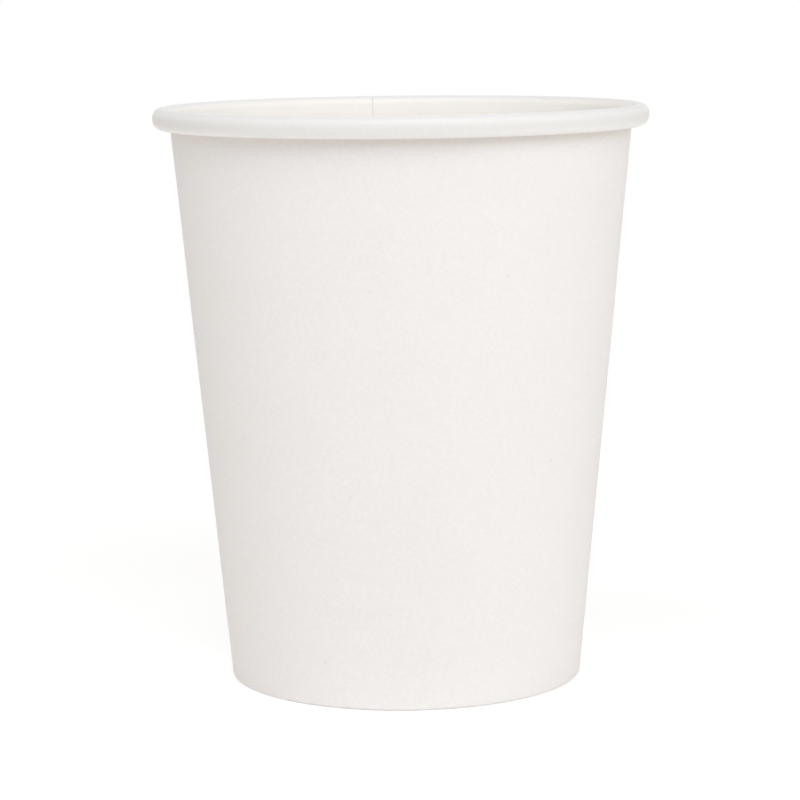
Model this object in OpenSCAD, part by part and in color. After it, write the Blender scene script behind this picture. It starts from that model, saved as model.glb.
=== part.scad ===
// Single-wall paper coffee cup, made of two pieces of coated board.
// The sidewall is one wrapped blank: a lapped side seam, a rim rolled outwards and a hem
// turned up inside the foot. The base disc is a second blank with its edge bent down into
// a skirt, which the hem folds round and seals. The origin is on the table, on the cup's axis.

/* [Cup] */
// Height from the table to the top of the rim
cup_h = 93.1; // [60:0.1:140]
// Diameter over the rolled rim
rim_d = 80; // [70:0.5:110]
// Outside diameter of the wall where it meets the table
foot_d = 57.3; // [45:0.1:66]

/* [Board] */
// Thickness of the sidewall board
wall_t = 0.35; // [0.25:0.01:0.45]
// Thickness of the base board
base_t = 0.3; // [0.2:0.01:0.5]
// Clearance on each side of the skirt, filled by the heat seal's coating
seal_gap = 0.03; // [0.02:0.01:0.1]

/* [Rolled rim] */
// Width of the roll, from the inside of the cup to its outer side
roll_w = 3; // [2.4:0.1:4.5]
// Height of the straight outer side between the roll's two rounded turns
roll_side = 0.45; // [0.1:0.1:2.5]
// Gap that the rolled edge keeps from the wall as it springs back
tuck_gap = 0.15; // [0.1:0.01:0.3]
// Length of the rolled edge that stands up inside the roll
tuck_len = 0.8; // [0.2:0.1:1.2]

/* [Foot] */
// Height of the hem's raw edge above the table
hem_h = 6.5; // [3:0.1:8]
// Height of the space under the base disc
recess_h = 10; // [8.5:0.1:16]
// Radius inside the bend between the base disc and its skirt
crease_r = 0.3; // [0.1:0.05:0.8]
// How far the fold under the foot is pressed flat by the table
press_flat = 0.05; // [0.02:0.01:0.1]

/* [Side seam] */
// Direction of the raw edge inside the cup, in degrees anticlockwise from +X
seam_at = 97.5; // [0:0.5:359.5]
// Width of the lap, measured round the foot
lap_w = 6.5; // [3:0.1:12]
// How much the two layers are pressed into each other by the heat seal
lap_press = 0.02; // [0.01:0.01:0.05]

/* [Hidden] */

$fn = 180;
board_white = [0.96, 0.95, 0.93];
inside_white = [0.97, 0.95, 0.92];
bend_steps = 8;
// How far a cutting body runs past what it cuts
clear = 1;

// The sidewall's section is drawn upright beside its leaning wall and then leaned as one.
// Local point (n, s) lies n outwards from the roll's upper centre and s up along the wall.
roll_r = roll_w / 2;
centre_r = rim_d / 2 - roll_r;
centre_z = cup_h - roll_r;
run = centre_r - foot_d / 2;
lean = acos((roll_r - wall_t) / norm([run, centre_z])) - atan2(centre_z, run);

// Inner and outer faces of the wall, and the sealed stack of wall, skirt and hem in the foot
wall_in = -roll_r;
wall_out = wall_in + wall_t;
fold_r = wall_t + seal_gap + base_t / 2;
fold_n = wall_out - fold_r;
fold_s = up_at(fold_r - press_flat, fold_n);
hem_in = fold_n - fold_r;
skirt_in = fold_n - base_t / 2;
skirt_out = fold_n + base_t / 2;
disc_top = recess_h + base_t;

// Second, tighter turn of the roll, which brings the raw edge up beside the wall
tuck_r = roll_r - wall_t - tuck_gap;
tuck_s = tuck_r - roll_r - roll_side;

// The outer layer of the lap lies on the inner one, and comes up to it along a tangent
lap_rise = wall_t - lap_press;
lap_a = lap_w / foot_d * 360 / PI;
top_r = placed(wall_out, tuck_s)[0];
ramp_a = acos(top_r / (top_r + lap_rise - 2 * lap_press));
ramp_from = seam_at - ramp_a;
neck_s = -roll_side - roll_r - wall_t;
// Turn by which the ramp runs into its neighbours, and how deep in the roll it stops
join_a = 0.1;
ramp_sink = 0.3 * tuck_r;
ramp_top_s = tuck_s - ramp_sink;

// Place of a local point in the cup's own section, as [radius, height]
function placed(n, s) = [
    centre_r + n * cos(lean) + s * sin(lean),
    centre_z - n * sin(lean) + s * cos(lean)
];

// How far along the wall a local point n outwards lies at the height z
function up_at(z, n) = (z - centre_z + n * sin(lean)) / cos(lean);

function window(n0, s0, n1, s1) = [[n0, s0], [n1, s0], [n1, s1], [n0, s1]];

function bend(centre, r, a0, a1) = [
    for (i = [0:bend_steps])
        let (a = a0 + (a1 - a0) * i / bend_steps)
            centre + r * [cos(a), sin(a)]
];

// Straight run of the sidewall board, with its inner face at n and its ends at s0 and s1
module run_2d(n, s0, s1) {
    polygon(window(n, s0, n + wall_t, s1));
}

// Turned run of the sidewall board: the part of a ring that the window shows
module turn_2d(centre, r, shown) {
    intersection() {
        translate(centre)
            difference() {
                circle(r);
                circle(r - wall_t);
            }
        polygon(shown);
    }
}

// The rim: over the top, down the outer side, in under it, and up beside the wall
module roll_2d() {
    turn_2d([0, 0], roll_r, window(-roll_w, 0, roll_w, roll_w));
    run_2d(roll_r - wall_t, -roll_side, 0);
    turn_2d([0, -roll_side], roll_r, window(0, -roll_side - roll_w, roll_w, -roll_side));
    turn_2d([0, tuck_s], tuck_r, window(-roll_w, tuck_s - roll_w, 0, tuck_s));
    run_2d(-tuck_r, tuck_s, tuck_s + tuck_len);
}

// The foot: down round the skirt's raw edge and up again as the hem
module hem_2d() {
    turn_2d([fold_n, fold_s], fold_r, window(-rim_d, fold_s - rim_d, rim_d, fold_s));
    run_2d(hem_in, fold_s, up_at(hem_h, hem_in));
}

// Leans a local section into place and trims it on the table
module leaned() {
    difference() {
        translate([centre_r, centre_z])
            rotate(-lean)
                children();
        translate([0, -cup_h])
            square([rim_d, cup_h]);
    }
}

module sheet_section() {
    leaned() {
        run_2d(wall_in, fold_s, 0);
        roll_2d();
        hem_2d();
    }
}

// Space taken out of the full ring behind the ramp: the wall from the base disc to the roll
module opened_section() {
    leaned()
        polygon(window(-roll_w, up_at(disc_top, wall_in), wall_out + wall_t, neck_s));
}

// The blank's outer end on its way up to the lap
module ramp_section() {
    leaned()
        run_2d(wall_in + lap_press, fold_s, ramp_top_s);
}

// The outer layer of the lap, which stops inside the roll
module lap_section() {
    leaned()
        run_2d(wall_in + lap_rise, fold_s, tuck_s);
}

// Upright wedge of space between two directions
module wedge(from, to) {
    translate([0, 0, -clear])
        linear_extrude(cup_h + 2 * clear)
            polygon([[0, 0], rim_d * [cos(from), sin(from)], rim_d * [cos(to), sin(to)]]);
}

// The board leaves the round of the cup along its tangent and lands on the lap
module ramp() {
    intersection() {
        rotate([0, 0, ramp_from])
            rotate([90, 0, 0])
                linear_extrude(rim_d, center = true)
                    ramp_section();
        wedge(ramp_from - join_a, seam_at + join_a);
    }
}

module sidewall() {
    color(board_white)
        union() {
            difference() {
                rotate_extrude(angle = 360)
                    sheet_section();
                rotate_extrude(angle = ramp_a, start = ramp_from)
                    opened_section();
            }
            rotate_extrude(angle = lap_a, start = seam_at)
                lap_section();
            ramp();
        }
}

module base_disc() {
    crease_n = skirt_in - crease_r;
    crease = placed(crease_n, up_at(recess_h - crease_r, crease_n));
    color(inside_white)
        rotate_extrude(angle = 360)
            polygon(concat(
                [[0, disc_top]],
                bend(crease, crease_r + base_t, 90, -lean),
                [placed(skirt_out, fold_s), placed(skirt_in, fold_s)],
                bend(crease, crease_r, -lean, 90),
                [[0, recess_h]]
            ));
}

sidewall();
base_disc();
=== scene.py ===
import math

import bmesh
import bpy
from mathutils import Matrix, Vector, noise


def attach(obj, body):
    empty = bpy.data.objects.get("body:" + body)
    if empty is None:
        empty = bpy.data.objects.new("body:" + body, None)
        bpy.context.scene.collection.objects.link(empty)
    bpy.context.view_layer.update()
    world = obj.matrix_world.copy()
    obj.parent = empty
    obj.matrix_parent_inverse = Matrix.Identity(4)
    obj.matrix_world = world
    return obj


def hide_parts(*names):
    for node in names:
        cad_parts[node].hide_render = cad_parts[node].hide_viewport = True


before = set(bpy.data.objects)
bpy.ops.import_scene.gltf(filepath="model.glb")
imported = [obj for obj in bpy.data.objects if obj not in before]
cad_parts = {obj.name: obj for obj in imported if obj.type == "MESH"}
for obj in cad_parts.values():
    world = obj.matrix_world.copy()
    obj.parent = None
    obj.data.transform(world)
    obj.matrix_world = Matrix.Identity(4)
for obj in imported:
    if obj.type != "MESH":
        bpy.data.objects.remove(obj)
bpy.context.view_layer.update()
scene = bpy.context.scene
MM = 0.001


# Camera
# A long lens a little above the rim, looking down into the mouth of the cup. Its place, and
# its tilt in radians, were worked out from the cup's outline in the photograph.
cam_back = 468.9 * MM
cam_up = 112.68 * MM
cam_down = 0.1434
cam_aside = -0.0013
cam_roll = 0.0106
focal_length = 130.2
sensor_width = 36
nearest_seen = 10 * MM

lens = bpy.data.cameras.new("camera")
lens.lens = focal_length
lens.sensor_width = sensor_width
lens.clip_start = nearest_seen
camera = bpy.data.objects.new("camera", lens)
camera.matrix_world = (
    Matrix.Translation((0, -cam_back, cam_up))
    @ Matrix.Rotation(-cam_aside, 4, "Z")
    @ Matrix.Rotation(math.pi / 2 - cam_down, 4, "X")
    @ Matrix.Rotation(-cam_roll, 4, "Z")
)
scene.collection.objects.link(camera)
scene.camera = camera
scene.view_settings.view_transform = "Standard"


# Table and backdrop
# A plain white sheet that the cup stands on, running out to a white studio. Both look plain
# white to the camera, and the sheet keeps the shadow close round the cup. The light they
# throw on the cup is that of white paper and of a weakly lit, warm room.
class Value:
    """A number or colour in a node tree. Reckoning with it adds the nodes that do it."""

    # Where a Mix node has its two colours among its inputs, and the mixed one among its outputs
    FIRST = 6
    SECOND = 7
    MIXED = 2

    def __init__(self, finish, socket):
        self.finish = finish
        self.socket = socket

    def __add__(self, other):
        return self.finish.node("ShaderNodeMath", {"operation": "ADD"}, {0: self, 1: other})

    def __radd__(self, other):
        return self.finish.node("ShaderNodeMath", {"operation": "ADD"}, {0: other, 1: self})

    def rise(self, low, high):
        """0 up to low, 1 from high on and smooth between them."""
        settings = {"interpolation_type": "SMOOTHSTEP"}
        sockets = {"Value": self, "From Min": low, "From Max": high}
        return self.finish.node("ShaderNodeMapRange", settings, sockets)

    def mixed(self, first, second, blend="MIX"):
        """Colour between first, where this is 0, and second, where it is 1."""
        settings = {"data_type": "RGBA", "blend_type": blend}
        sockets = {"Factor": self, self.FIRST: first, self.SECOND: second}
        return self.finish.node("ShaderNodeMix", settings, sockets, self.MIXED)

    def dimmed(self, colour, by):
        """The colour, multiplied by another where this is 1."""
        return self.mixed(colour, by, "MULTIPLY")


class Finish:
    """The nodes of a material or of the world."""

    def __init__(self, owner):
        owner.use_nodes = True
        self.owner = owner
        self.tree = owner.node_tree
        self.tree.nodes.clear()

    def node(self, kind, settings, sockets, out=0):
        """Adds a node: its settings first, then a value or a link for each socket."""
        made = self.tree.nodes.new(kind)
        for key, setting in settings.items():
            setattr(made, key, setting)
        for key, given in sockets.items():
            if isinstance(given, Value):
                self.tree.links.new(given.socket, made.inputs[key])
            else:
                made.inputs[key].default_value = given
        if made.outputs:
            return Value(self, made.outputs[out])

    def vector(self, operation, sockets, out=0):
        """Adds a node that reckons with vectors."""
        return self.node("ShaderNodeVectorMath", {"operation": operation}, sockets, out)

    def where(self):
        """Place on the piece itself, in metres."""
        return self.node("ShaderNodeTexCoord", {}, {}, "Object")

    def across(self):
        """Distance from the cup's axis."""
        level = self.vector("MULTIPLY", {0: self.where(), 1: (1, 1, 0)})
        return self.vector("LENGTH", {0: level}, "Value")

    def height(self):
        """Height above the table."""
        return self.vector("DOT_PRODUCT", {0: self.where(), 1: (0, 0, 1)}, "Value")

    def seen(self):
        """1 or more for a ray that shows the surface: from the camera, off gloss or through
        glass. A mix takes more than 1 as 1."""
        camera_ray = self.node("ShaderNodeLightPath", {}, {}, "Is Camera Ray")
        glossy_ray = self.node("ShaderNodeLightPath", {}, {}, "Is Glossy Ray")
        clear_ray = self.node("ShaderNodeLightPath", {}, {}, "Is Transmission Ray")
        return camera_ray + glossy_ray + clear_ray


table_side = 6.0
table_paint = (0.98, 0.975, 0.96, 1)
studio_light = (0.27, 0.24, 0.20, 1)
seen_white = (1, 1, 1, 1)
seen_strength = 1.0

# The camera sees the sheet in a darker paint, lifted to white by a glow so that only a soft
# shadow is left. Between these distances from the axis it fades into plain white.
shadow_paint = (0.34, 0.34, 0.345, 1)
shadow_lift = 0.73
shadow_reach = 0.16
plain_reach = 3 * shadow_reach

ground = bmesh.new()
bmesh.ops.create_grid(ground, x_segments=1, y_segments=1, size=table_side / 2)
ground_mesh = bpy.data.meshes.new("table")
ground.to_mesh(ground_mesh)
ground.free()
table = bpy.data.objects.new("table", ground_mesh)
scene.collection.objects.link(table)

paper = Finish(bpy.data.materials.new("white_sheet"))
lighting = paper.node("ShaderNodeBsdfDiffuse", {}, {"Color": table_paint})
shadowed = paper.node("ShaderNodeBsdfDiffuse", {}, {"Color": shadow_paint})
glow = paper.node("ShaderNodeEmission", {}, {"Strength": shadow_lift})
lifted = paper.node("ShaderNodeAddShader", {}, {0: shadowed, 1: glow})
plain = paper.node("ShaderNodeEmission", {}, {"Strength": seen_strength})
far_off = paper.across().rise(shadow_reach, plain_reach)
shown = paper.node("ShaderNodeMixShader", {}, {0: far_off, 1: lifted, 2: plain})
either = paper.node("ShaderNodeMixShader", {}, {0: paper.seen(), 1: lighting, 2: shown})
paper.node("ShaderNodeOutputMaterial", {}, {"Surface": either})
ground_mesh.materials.append(paper.owner)

studio = Finish(bpy.data.worlds.new("studio"))
scene.world = studio.owner
brightness = studio.seen().mixed(studio_light, seen_white)
backdrop = studio.node("ShaderNodeBackground", {}, {"Color": brightness})
studio.node("ShaderNodeOutputWorld", {}, {"Surface": backdrop})


# Lamps
# Five soft boxes of slightly cool light round the cup: the main one in front, one high in
# front to the left, a low one at each side and one behind that lights the inside.
box_side = 0.8
box_colour = (0.95, 0.975, 1.0)
cup_middle = Vector((0, 0, 0.045))


def soft_box(name, place, watts):
    """Square lamp at a place in metres, turned towards the cup."""
    lamp = bpy.data.lights.new(name, "AREA")
    lamp.shape = "SQUARE"
    lamp.size = box_side
    lamp.energy = watts
    lamp.color = box_colour
    holder = bpy.data.objects.new(name, lamp)
    towards_cup = cup_middle - Vector(place)
    facing = towards_cup.to_track_quat("-Z", "Y").to_matrix().to_4x4()
    holder.matrix_world = Matrix.Translation(place) @ facing
    scene.collection.objects.link(holder)


soft_box("main_box", (0.34, -0.94, 0.88), watts=7.5)
soft_box("left_box", (-0.42, -0.50, 1.17), watts=4.55)
soft_box("right_side_box", (1.20, -0.21, 0.49), watts=3.25)
soft_box("left_side_box", (-1.15, -0.42, 0.49), watts=2.0)
soft_box("back_box", (0.0, 0.84, 1.04), watts=3.55)


# Sidewall
# One blank of coated cup board, wrapped into a cone with its ends lapped and heat sealed.
# Its top edge is rolled outwards into the rim, its bottom edge turned up inside as a hem.
cup_height = 93.1 * MM
rim_radius = 40.0 * MM
foot_radius = 28.65 * MM
wall_thick = 0.35 * MM
base_thick = 0.30 * MM
seal_gap = 0.03 * MM
roll_radius = 1.5 * MM
roll_side = 0.45 * MM
tuck_gap = 0.15 * MM
tuck_length = 0.8 * MM
hem_height = 6.5 * MM
disc_top = 10.3 * MM

# The outer end of the blank climbs a ramp, passes the inner end at the seam and lies on it
# as the lap, which starts a little above the fold at the foot.
seam_angle = math.radians(97.5)
ramp_angle = math.radians(7.6)
lap_width = 6.5 * MM
lap_angle = lap_width / foot_radius
lap_clear = 0.015 * MM
lap_rise = wall_thick + lap_clear
lap_foot = 0.8 * MM

# The inner end shows its raw edge as a bevelled strip, with a gap to the layer that passes it.
# Pressing takes away a share of the step there, which grows over flush_from below the roll.
edge_width = 0.10 * MM
edge_drop = 0.04 * MM
gap_width = 0.03 * MM
flush_from = 5.0 * MM
flush_wall = 0.7
flush_rim = 0.95

# The section is reckoned beside the leaning wall, n outwards from the roll's upper centre
# and s up along the wall, as in the part itself.
centre_r = rim_radius - roll_radius
centre_z = cup_height - roll_radius
overhang = centre_r - foot_radius
wall_slant = math.acos((roll_radius - wall_thick) / math.hypot(overhang, centre_z))
lean = wall_slant - math.atan2(centre_z, overhang)
wall_in = -roll_radius
fold_radius = wall_thick + seal_gap + base_thick / 2
fold_n = wall_in + wall_thick - fold_radius
hem_face = fold_n - fold_radius + wall_thick
tuck_radius = roll_radius - wall_thick - tuck_gap
tuck_s = tuck_radius - roll_radius - roll_side


def placed(n, s):
    """Point (radius, 0, height) of the section."""
    radius = centre_r + n * math.cos(lean) + s * math.sin(lean)
    height = centre_z - n * math.sin(lean) + s * math.cos(lean)
    return Vector((radius, 0, height))


def up_at(height, n):
    """How far up along the wall a point n outwards reaches that height."""
    return (height - centre_z + n * math.sin(lean)) / math.cos(lean)


def straight(n, start, stop, steps):
    """Straight run of board along the wall, without its last point."""
    return [placed(n, start + (stop - start) * i / steps) for i in range(steps)]


def bend(n, s, radius, start, stop, steps):
    """Round run of board about (n, s) between two directions in degrees, without its last point."""
    angles = [math.radians(start + (stop - start) * i / steps) for i in range(steps)]
    return [placed(n + radius * math.cos(a), s + radius * math.sin(a)) for a in angles]


# Inside face of the blank, from the hem's raw edge to the edge tucked up in the roll. That
# edge ends one step lower than in the part, since its run too is without its last point.
fold_s = up_at(fold_radius, fold_n)
lap_s = fold_s + lap_foot
ridge_s = up_at(disc_top, wall_in)
ridge_reach = 2 * MM
hem_run = straight(hem_face, up_at(hem_height, hem_face), fold_s, steps=6)
fold_run = bend(fold_n, fold_s, fold_radius - wall_thick, 180, 360, steps=10)
foot_run = straight(wall_in, fold_s, lap_s, steps=3)
wall_run = straight(wall_in, lap_s, ridge_s - ridge_reach, steps=4)
wall_run += straight(wall_in, ridge_s - ridge_reach, ridge_s + ridge_reach, steps=10)
wall_run += straight(wall_in, ridge_s + ridge_reach, 0, steps=16)
over_run = bend(0, 0, roll_radius, 180, 0, steps=22)
over_run += straight(roll_radius, 0, -roll_side, steps=2)
over_run += bend(0, -roll_side, roll_radius, 0, -90, steps=10)
tuck_run = bend(0, tuck_s, tuck_radius, -90, -180, steps=8)
end_run = straight(-tuck_radius, tuck_s, tuck_s + tuck_length, steps=3)
section = hem_run + fold_run + foot_run + wall_run + over_run + tuck_run + end_run

# Places in the section at which the wall's foot, the free wall, the roll, the tucked turn and
# the tucked edge start
foot_at = len(hem_run + fold_run)
wall_at = foot_at + len(foot_run)
roll_at = wall_at + len(wall_run)
tuck_at = roll_at + len(over_run)
end_at = tuck_at + len(tuck_run)

full_turn = 2 * math.pi
merge_within = 0.001 * MM
sharp_from = math.radians(50)

# A board has three finishes: on its inside face, then on its outside face and its raw edges
outside_finish = 1
edge_finish = 2


def eased(x):
    """0 up to 0, 1 from 1 on and smooth between them."""
    x = min(max(x, 0.0), 1.0)
    return x * x * (3 - 2 * x)


def new_sheet(section):
    """A bmesh that holds the section as a line, with each point's place in it and its turn."""
    sheet = bmesh.new()
    place_of = sheet.verts.layers.int.new("place")
    turn_of = sheet.verts.layers.float.new("turn")
    line = [sheet.verts.new(point) for point in section]
    for place, vert in enumerate(line):
        vert[place_of] = place
    edges = [sheet.edges.new(pair) for pair in zip(line, line[1:])]
    return sheet, place_of, turn_of, line + edges


def carried(sheet, turn_of, geometry, start, stop, steps):
    """Carries the section on round the cup and marks the new points with their turn."""
    before = set(sheet.verts)
    swept = bmesh.ops.spin(
        sheet,
        geom=geometry,
        cent=(0, 0, 0),
        axis=(0, 0, 1),
        angle=stop - start,
        steps=steps,
        use_merge=False,
        use_duplicate=False,
    )
    for vert in set(sheet.verts) - before:
        angle = math.atan2(vert.co.y, vert.co.x) - seam_angle - start
        vert[turn_of] = start + angle % full_turn
    return swept["geom_last"]


def outside_way(section, place):
    """Direction across the board at a place of the section, from its inside face outwards."""
    along = section[min(place + 1, len(section) - 1)] - section[max(place - 1, 0)]
    return Vector((along.z, 0, -along.x)).normalized()


def faced(sheet, face, way):
    """Turns the sheet's front to the inside of the cup: this face then looks that way."""
    bmesh.ops.recalc_face_normals(sheet, faces=sheet.faces)
    if face.normal.dot(way) < 0:
        bmesh.ops.reverse_faces(sheet, faces=sheet.faces)


def made_solid(name, sheet, thick, finishes):
    """The sheet as a board, which gets its thickness behind the inside face."""
    thin = bpy.data.meshes.new(name + "_sheet")
    for finish in finishes:
        thin.materials.append(finish)
    sheet.to_mesh(thin)
    sheet.free()
    piece = bpy.data.objects.new(name, thin)
    scene.collection.objects.link(piece)
    solid = piece.modifiers.new("thickness", "SOLIDIFY")
    solid.thickness = thick
    solid.offset = -1
    solid.use_even_offset = True
    solid.material_offset = outside_finish
    solid.material_offset_rim = edge_finish
    evaluated = piece.evaluated_get(bpy.context.evaluated_depsgraph_get())
    thick_mesh = bpy.data.meshes.new_from_object(evaluated)
    piece.modifiers.clear()
    piece.data = thick_mesh
    thick_mesh.name = name
    bpy.data.meshes.remove(thin)
    thick_mesh.shade_smooth()
    thick_mesh.set_sharp_from_angle(angle=sharp_from)
    return piece


# The section starts at the seam and is carried round in four stretches: the raw edge, the
# cup, the gap and the lap.
edge_turn = edge_width / rim_radius
gap_at = full_turn - gap_width / rim_radius
blank, place_of, turn_of, line = new_sheet(section)
bmesh.ops.rotate(
    blank,
    verts=[vert for vert in line if isinstance(vert, bmesh.types.BMVert)],
    cent=(0, 0, 0),
    matrix=Matrix.Rotation(seam_angle, 3, "Z"),
)
line = carried(blank, turn_of, line, 0, edge_turn, steps=1)
line = carried(blank, turn_of, line, edge_turn, gap_at, steps=360)
line = carried(blank, turn_of, line, gap_at, full_turn, steps=1)
carried(blank, turn_of, line, full_turn, full_turn + lap_angle, steps=13)

# Hem, fold and foot have no lap, and neither has the roll, where the gap stays open as well.
in_edge = 0.5 * edge_turn
past_edge = 1.5 * edge_turn
in_gap = 0.5 * (gap_at + full_turn)
past_seam = full_turn + in_edge
loose = []
for face in blank.faces:
    last_turn = max(vert[turn_of] for vert in face.verts)
    places = [vert[place_of] for vert in face.verts]
    if last_turn > past_seam and min(places) < wall_at:
        loose.append(face)
    if last_turn > in_gap and max(places) > roll_at:
        loose.append(face)
bmesh.ops.delete(blank, geom=loose, context="FACES")

# The wall is slightly uneven, which fades out towards foot and roll, and where it is pressed
# round the disc it stands out in a faint ridge.
ridge = 0.045 * MM
ridge_half = 0.9 * MM
uneven = 0.05 * MM
uneven_scale = 45
fade_from = 2 * MM
fade_over = 8 * MM

ways = [outside_way(section, place) for place in range(len(section))]
near_rim = [eased((point.z - centre_z + flush_from) / flush_from) for point in section[:roll_at]]
near_rim += [1.0] * (len(section) - roll_at)
for vert in blank.verts:
    place = vert[place_of]
    turn = vert[turn_of]

    # The ramp, pressed nearly flush at its end, and the room that the tucked edge leaves for
    # the lap
    climb = max(0.0, min(1.0, 1 - (full_turn - turn) / ramp_angle)) ** 2
    if turn < in_gap or place > roll_at:
        climb *= 1 - flush_wall - (flush_rim - flush_wall) * near_rim[place]
    room = climb if turn > math.pi else 1 - eased((turn - lap_angle) / ramp_angle)
    if place < foot_at:
        move = 0.0
    elif place < wall_at:
        move = lap_rise * climb * (place - foot_at) / (wall_at - foot_at)
    elif place <= tuck_at:
        move = lap_rise * climb
    else:
        tucked = eased((place - tuck_at) / (end_at - tuck_at))
        move = lap_rise * max(climb, room * tucked)

    if turn < in_edge and place >= wall_at:
        move += edge_drop
    if wall_at <= place < tuck_at:
        height = vert.co.z
        fade = eased((height - fade_from) / fade_over) * eased((centre_z - height) / fade_over)
        move += uneven * fade * noise.noise(vert.co * uneven_scale)
        move += ridge * math.exp(-(((height - disc_top) / ridge_half) ** 2))
    way = ways[place].copy()
    way.rotate(Matrix.Rotation(seam_angle + turn, 3, "Z"))
    vert.co += way * move

foot_verts = [vert for vert in blank.verts if vert[place_of] <= foot_at]
bmesh.ops.remove_doubles(blank, verts=foot_verts, dist=merge_within)
wall_face = max(blank.faces, key=lambda face: face.calc_area())
inwards = -wall_face.calc_center_median()
inwards.z = 0
faced(blank, wall_face, inwards)

# A noise pattern turns from one colour into another between these two of its values
noise_low = 0.3
noise_high = 0.7

# Roughly how many clouds, specks, fibres and pits lie along a millimetre of board
cloud_scale = 0.06
speck_scale = 0.16
fibre_scale = 1.9
pit_scale = 0.9

# How far a speck and its core reach, as shares of the specks' spacing
speck_size = 0.036
speck_core = 0.4 * speck_size

coat_roughness = 0.35
plain_fibres = (0.972, 0.972, 0.97, 1)
coated_fibres = (0.982, 0.982, 0.98, 1)


def in_mm(finish):
    """Place on the piece in millimetres, for patterns."""
    return finish.vector("SCALE", {0: finish.where(), "Scale": 1 / MM})


def cloudy(finish, paint, shade):
    """Board colour that drifts slowly between a paint and its shade."""
    pattern = {"Vector": in_mm(finish), "Scale": cloud_scale, "Detail": 3.0}
    clouds = finish.node("ShaderNodeTexNoise", {}, pattern)
    return clouds.rise(noise_low, noise_high).mixed(paint, shade)


def specked(finish, colour, speck_paint):
    """The colour with a few tiny specks of bark in it, as board has them."""
    pattern = {"Vector": in_mm(finish), "Scale": speck_scale}
    speck_off = finish.node("ShaderNodeTexVoronoi", {"feature": "F1"}, pattern, "Distance")
    return speck_off.rise(speck_core, speck_size).mixed(speck_paint, colour)


def fibrous(finish, colour, tint):
    """The colour with the faint mottle of pressed fibres, dimmed by up to that tint."""
    pattern = {"Vector": in_mm(finish), "Scale": fibre_scale, "Detail": 1.0, "Roughness": 0.6}
    fibres = finish.node("ShaderNodeTexNoise", {}, pattern)
    return fibres.rise(noise_low, noise_high).dimmed(colour, tint)


def board_surface(finish, colour, roughness, gloss, coat, grain_depth):
    """Finely pitted face of board with that colour."""
    pattern = {"Vector": in_mm(finish), "Scale": pit_scale, "Detail": 4.0, "Roughness": 0.65}
    grain = finish.node("ShaderNodeTexNoise", {}, pattern)
    pits = {"Strength": 1.0, "Distance": grain_depth, "Height": grain}
    sockets = {
        "Base Color": colour,
        "Roughness": roughness,
        "Specular IOR Level": gloss,
        "Coat Weight": coat,
        "Coat Roughness": coat_roughness,
        "Normal": finish.node("ShaderNodeBump", {}, pits),
    }
    surface = finish.node("ShaderNodeBsdfPrincipled", {}, sockets)
    finish.node("ShaderNodeOutputMaterial", {}, {"Surface": surface})


def board_finish(name, paint, shade, **surface):
    """Finish of a face of board that looks the same all over."""
    finish = Finish(bpy.data.materials.new(name))
    colour = fibrous(finish, cloudy(finish, paint, shade), plain_fibres)
    board_surface(finish, colour, **surface)
    return finish.owner


# The coated face shows inside the cup and all over the roll. The roll is painted greyer than
# the inside, with painted light and shade on it: painted bounce light low down, a painted
# highlight in a band near the top of its outer side and painted shade on its crest.
# The inside's paint is very light: partly its whiter coating, partly painted light for the light that
# comes through the wall
coated_white = (0.985, 0.955, 0.93, 1)
coated_shade = (0.98, 0.95, 0.92, 1)
# Painted light: the inside is lighter just below the lip
lip_painted_light = (0.99, 0.978, 0.962, 1)
# Painted bounce light low on the roll, a greyer middle, a painted highlight band and painted shade on
# the crest
rim_low_painted_light = (0.925, 0.91, 0.915, 1)
rim_middle = (0.822, 0.817, 0.812, 1)
rim_painted_highlight = (0.85, 0.845, 0.85, 1)
crest_painted_shade = (0.78, 0.778, 0.785, 1)

# How far below the top of the rim each paint of the roll's outer side starts and is full: its
# greyer paint, then the painted highlight, then the painted shade of the crest
rim_painted_light_bands = (
    (rim_middle, 3.0 * MM, 2.0 * MM),
    (rim_painted_highlight, 1.4 * MM, 0.8 * MM),
    (crest_painted_shade, 0.65 * MM, 0.15 * MM),
)

# The lip's painted light inside the cup goes by the same depth. The crest's painted shade and
# the outer side's paints start and are full at these distances in from the rim's outermost circle
lip_start = 3.1 * MM
lip_full = 1.8 * MM
crest_start = 2.95 * MM
crest_full = 2.2 * MM
side_start = 1.4 * MM
side_full = 1.0 * MM

inside_coat = Finish(bpy.data.materials.new("inside_coat"))
coat_height = inside_coat.height()
rim_side_painted_light = rim_low_painted_light
# The roll's outer side gets these paints band by band, from painted bounce light low down to painted
# shade on the crest
for paint, start, full in rim_painted_light_bands:
    rim_side_painted_light = coat_height.rise(cup_height - start, cup_height - full).mixed(rim_side_painted_light, paint)
coated = cloudy(inside_coat, coated_white, coated_shade)
# Painted light inside the cup just below the lip
coated = coat_height.rise(cup_height - lip_start, cup_height - lip_full).mixed(coated, lip_painted_light)
coat_radius = inside_coat.across()
# Painted shade on the roll's crest
coated = coat_radius.rise(rim_radius - crest_start, rim_radius - crest_full).mixed(coated, crest_painted_shade)
coated = coat_radius.rise(rim_radius - side_start, rim_radius - side_full).mixed(coated, rim_side_painted_light)
coated = fibrous(inside_coat, coated, coated_fibres)
board_surface(inside_coat, coated, roughness=0.55, gloss=0.2, coat=0.05, grain_depth=0.018 * MM)

# The outside is uncoated. Close under the rim its paint is darker and warmer: painted shade.
board_white = (0.892, 0.871, 0.873, 1)
board_shade = (0.887, 0.867, 0.865, 1)
under_rim_painted_shade = (0.885, 0.83, 0.80, 1)
under_rim_shade_start = 6.1 * MM
under_rim_shade_full = 3.3 * MM
speck_brown = (0.76, 0.72, 0.67, 1)

outside_board = Finish(bpy.data.materials.new("outside_board"))
plain_board = cloudy(outside_board, board_white, board_shade)
plain_board = specked(outside_board, plain_board, speck_brown)
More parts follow.
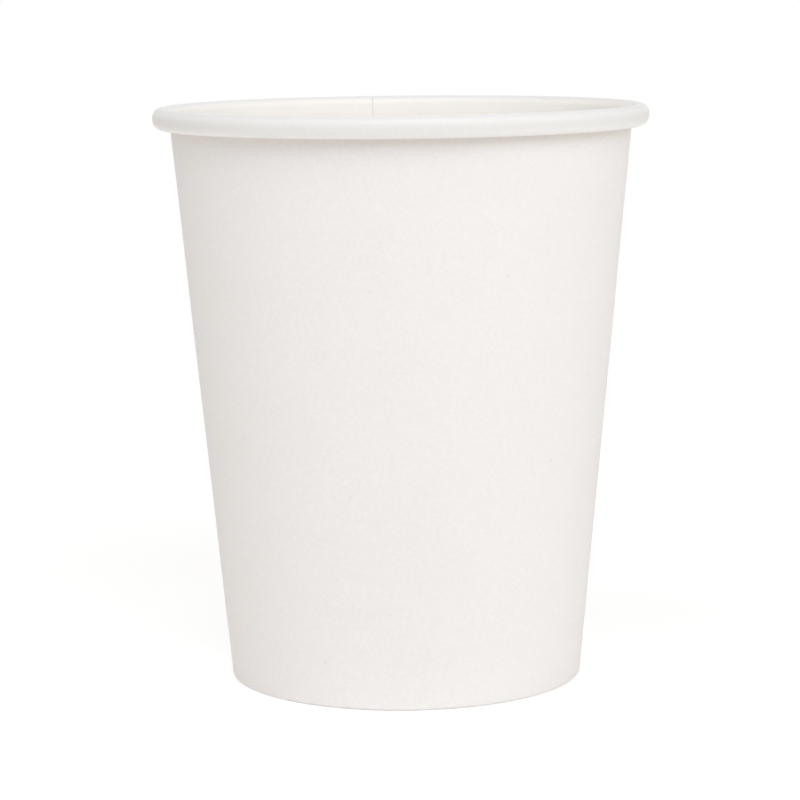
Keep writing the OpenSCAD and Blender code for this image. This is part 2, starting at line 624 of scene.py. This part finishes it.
# Painted shade in a band close under the rim
under_rim_shade_mask = outside_board.height().rise(cup_height - under_rim_shade_start, cup_height - under_rim_shade_full)
uncoated = fibrous(outside_board, under_rim_shade_mask.mixed(plain_board, under_rim_painted_shade), plain_fibres)
board_surface(outside_board, uncoated, roughness=0.8, gloss=0.5, coat=0.0, grain_depth=0.030 * MM)

edge_white = (0.86, 0.80, 0.74, 1)
edge_shade = (0.82, 0.75, 0.68, 1)
raw_edge = board_finish(
    "raw_edge", edge_white, edge_shade, roughness=0.9, gloss=0.3, coat=0.0, grain_depth=0.014 * MM
)

for face in blank.faces:
    last_turn = max(vert[turn_of] for vert in face.verts)
    first_place = min(vert[place_of] for vert in face.verts)
    if last_turn < past_edge and first_place >= foot_at:
        face.material_index = edge_finish
sidewall_finishes = (inside_coat.owner, outside_board.owner, raw_edge)
sidewall = made_solid("sidewall_board", blank, wall_thick, sidewall_finishes)
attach(sidewall, "root")
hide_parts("sidewall")


# Base disc
# A round blank of thinner board, coated on top, with its edge bent down all round into a
# skirt. The sidewall's hem folds round the skirt, and heat seals it on both sides.
crease_inside = 0.3 * MM
crease_radius = crease_inside + base_thick
skirt_out = fold_n + base_thick / 2
crease_n = fold_n - base_thick / 2 - crease_inside
crease_s = up_at(disc_top - crease_radius, crease_n)
crease_r = placed(crease_n, crease_s).x

disc_rings = 24
disc_run = [Vector((crease_r * i / disc_rings, 0, disc_top)) for i in range(disc_rings)]
crease_run = bend(crease_n, crease_s, crease_radius, 90 + math.degrees(lean), 0, steps=8)
skirt_run = straight(skirt_out, crease_s, fold_s, steps=4)
disc_section = disc_run + crease_run + skirt_run + [placed(skirt_out, fold_s)]
disc, place_of, turn_of, line = new_sheet(disc_section)
carried(disc, turn_of, line, 0, full_turn, steps=180)
bmesh.ops.remove_doubles(disc, verts=disc.verts, dist=merge_within)

# The disc is slightly domed, and not quite evenly.
disc_dome = 0.12 * MM
disc_uneven = 0.04 * MM
disc_uneven_scale = 60
for vert in disc.verts:
    reach = math.hypot(vert.co.x, vert.co.y) / crease_r
    if reach < 1:
        dome = disc_dome * (1 - reach * reach)
        vert.co.z += dome + disc_uneven * (1 - reach) * noise.noise(vert.co * disc_uneven_scale)
top_face = max(disc.faces, key=lambda face: face.calc_center_median().z)
faced(disc, top_face, Vector((0, 0, 1)))

disc_white = (0.94, 0.92, 0.89, 1)
disc_shade = (0.93, 0.91, 0.875, 1)
disc_top_coat = board_finish(
    "disc_top", disc_white, disc_shade, roughness=0.55, gloss=0.2, coat=0.05, grain_depth=0.010 * MM
)
under_white = (0.87, 0.845, 0.825, 1)
under_shade = (0.86, 0.835, 0.81, 1)
disc_under = board_finish(
    "disc_underside", under_white, under_shade, roughness=0.85, gloss=0.5, coat=0, grain_depth=0.016 * MM
)
base_disc = made_solid("base_board", disc, base_thick, (disc_top_coat, disc_under, raw_edge))
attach(base_disc, "root")
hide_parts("base_disc")
